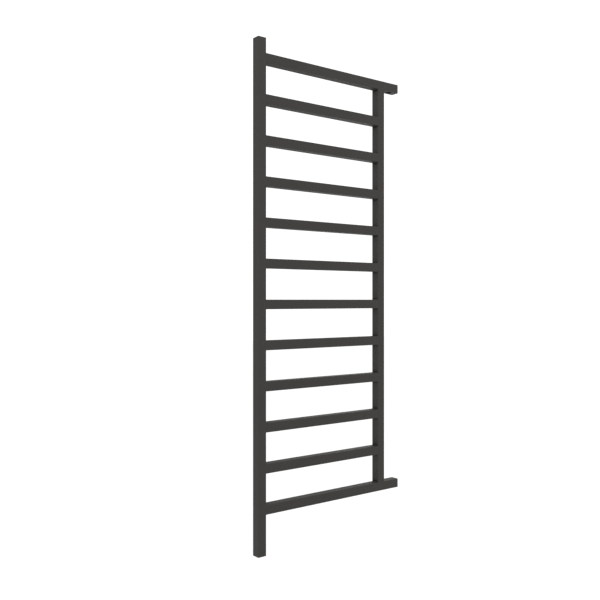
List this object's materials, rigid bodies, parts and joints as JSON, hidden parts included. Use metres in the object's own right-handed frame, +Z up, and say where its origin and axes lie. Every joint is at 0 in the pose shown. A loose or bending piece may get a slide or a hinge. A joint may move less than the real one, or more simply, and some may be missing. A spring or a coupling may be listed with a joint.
{
  "type": "towel warmer rack",
  "caption": "Tall wall-hung ladder rack of square steel tube that warms towels: a long left post, a short right post and level rungs.",
  "frame": {"origin": "centre of the four bracket faces, on the wall plane", "axes": "+X along the rungs, to the right as seen from the room; +Y into the wall; +Z up"},
  "size_m": [0.6, 0.075, 1.6],
  "materials": {
    "rack_coat": "satin anthracite powder coat on steel",
    "bracket_coat": "satin anthracite powder coat on a machined sleeve",
    "zinc_plated_steel": "bright zinc plate",
    "nickel_plated_brass": "satin nickel plate on turned brass",
    "dark_plastic": "fine moulded texture",
    "rubber": "matte",
    "nylon": "natural moulded nylon"
  },
  "bodies": {
    "rack": {"left_post": "rack_coat", "right_post": "rack_coat", "rung_01": "rack_coat", "rung_02": "rack_coat", "rung_03": "rack_coat", "rung_04": "rack_coat", "rung_05": "rack_coat", "rung_06": "rack_coat", "rung_07": "rack_coat", "rung_08": "rack_coat", "rung_09": "rack_coat", "rung_10": "rack_coat", "rung_11": "rack_coat", "rung_12": "rack_coat", "left_post_top_cap": "rack_coat", "rung_01_end_cap": "rack_coat", "rung_12_end_cap": "rack_coat", "left_post_socket": "rack_coat", "spare_socket": "rack_coat", "return_socket": "rack_coat", "flow_baffle": "rack_coat", "upper_left_boss": "rack_coat", "upper_right_boss": "rack_coat", "lower_left_boss": "rack_coat", "lower_right_boss": "rack_coat", "upper_left_stem": "zinc_plated_steel", "upper_right_stem": "zinc_plated_steel", "lower_left_stem": "zinc_plated_steel", "lower_right_stem": "zinc_plated_steel", "vent_boss": "rack_coat", "vent_body": "nickel_plated_brass", "vent_o_ring": "rubber"},
    "upper_left_wall_sleeve": {"upper_left_sleeve": "bracket_coat"},
    "upper_left_pad": {"upper_left_grub_pad": "nylon"},
    "upper_left_screw": {"upper_left_grub_screw": "zinc_plated_steel"},
    "upper_right_wall_sleeve": {"upper_right_sleeve": "bracket_coat"},
    "upper_right_pad": {"upper_right_grub_pad": "nylon"},
    "upper_right_screw": {"upper_right_grub_screw": "zinc_plated_steel"},
    "lower_left_wall_sleeve": {"lower_left_sleeve": "bracket_coat"},
    "lower_left_pad": {"lower_left_grub_pad": "nylon"},
    "lower_left_screw": {"lower_left_grub_screw": "zinc_plated_steel"},
    "lower_right_wall_sleeve": {"lower_right_sleeve": "bracket_coat"},
    "lower_right_pad": {"lower_right_grub_pad": "nylon"},
    "lower_right_screw": {"lower_right_grub_screw": "zinc_plated_steel"},
    "vent_nozzle": {"vent_nozzle_ring": "dark_plastic"},
    "vent_tip": {"vent_seal_tip": "rubber"},
    "vent_key_spindle": {"vent_spindle": "nickel_plated_brass"}
  },
  "joints": [
    {"name": "upper_left_wall_distance", "type": "slide", "parent": "rack", "child": "upper_left_wall_sleeve", "axis": [0, 1, 0], "range_m": [-0.004, 0.01]},
    {"name": "upper_left_pad_travel", "type": "slide", "parent": "upper_left_wall_sleeve", "child": "upper_left_pad", "axis": [0, 0, -1], "range_m": [0, 0.0016]},
    {"name": "upper_left_grub_screw_turn", "type": "hinge", "parent": "upper_left_pad", "child": "upper_left_screw", "pos_m": [-0.258, -0.0265, 0.6915], "axis": [0, 0, -1], "range_deg": [0, 720]},
    {"name": "upper_right_wall_distance", "type": "slide", "parent": "rack", "child": "upper_right_wall_sleeve", "axis": [0, 1, 0], "range_m": [-0.004, 0.01]},
    {"name": "upper_right_pad_travel", "type": "slide", "parent": "upper_right_wall_sleeve", "child": "upper_right_pad", "axis": [0, 0, -1], "range_m": [0, 0.0016]},
    {"name": "upper_right_grub_screw_turn", "type": "hinge", "parent": "upper_right_pad", "child": "upper_right_screw", "pos_m": [0.258, -0.0265, 0.6915], "axis": [0, 0, -1], "range_deg": [0, 720]},
    {"name": "lower_left_wall_distance", "type": "slide", "parent": "rack", "child": "lower_left_wall_sleeve", "axis": [0, 1, 0], "range_m": [-0.004, 0.01]},
    {"name": "lower_left_pad_travel", "type": "slide", "parent": "lower_left_wall_sleeve", "child": "lower_left_pad", "axis": [0, 0, -1], "range_m": [0, 0.0016]},
    {"name": "lower_left_grub_screw_turn", "type": "hinge", "parent": "lower_left_pad", "child": "lower_left_screw", "pos_m": [-0.258, -0.0265, -0.7055], "axis": [0, 0, -1], "range_deg": [0, 720]},
    {"name": "lower_right_wall_distance", "type": "slide", "parent": "rack", "child": "lower_right_wall_sleeve", "axis": [0, 1, 0], "range_m": [-0.004, 0.01]},
    {"name": "lower_right_pad_travel", "type": "slide", "parent": "lower_right_wall_sleeve", "child": "lower_right_pad", "axis": [0, 0, -1], "range_m": [0, 0.0016]},
    {"name": "lower_right_grub_screw_turn", "type": "hinge", "parent": "lower_right_pad", "child": "lower_right_screw", "pos_m": [0.258, -0.0265, -0.7055], "axis": [0, 0, -1], "range_deg": [0, 720]},
    {"name": "vent_nozzle_swivel", "type": "hinge", "parent": "rack", "child": "vent_nozzle", "pos_m": [-0.285, -0.036, 0.738], "axis": [0, 1, 0], "continuous": true},
    {"name": "vent_tip_travel", "type": "slide", "parent": "rack", "child": "vent_tip", "axis": [0, 1, 0], "range_m": [0, 0.0015]},
    {"name": "vent_spindle_turn", "type": "hinge", "parent": "vent_tip", "child": "vent_key_spindle", "pos_m": [-0.285, -0.038, 0.738], "axis": [0, 1, 0], "range_deg": [0, 720]}
  ],
  "couplings": [
    {"joint": "upper_left_grub_screw_turn", "follows": "upper_left_pad_travel", "rad_per_m": 7854},
    {"joint": "upper_right_grub_screw_turn", "follows": "upper_right_pad_travel", "rad_per_m": 7854},
    {"joint": "lower_left_grub_screw_turn", "follows": "lower_left_pad_travel", "rad_per_m": 7854},
    {"joint": "lower_right_grub_screw_turn", "follows": "lower_right_pad_travel", "rad_per_m": 7854},
    {"joint": "vent_spindle_turn", "follows": "vent_tip_travel", "rad_per_m": 8377.6}
  ]
}
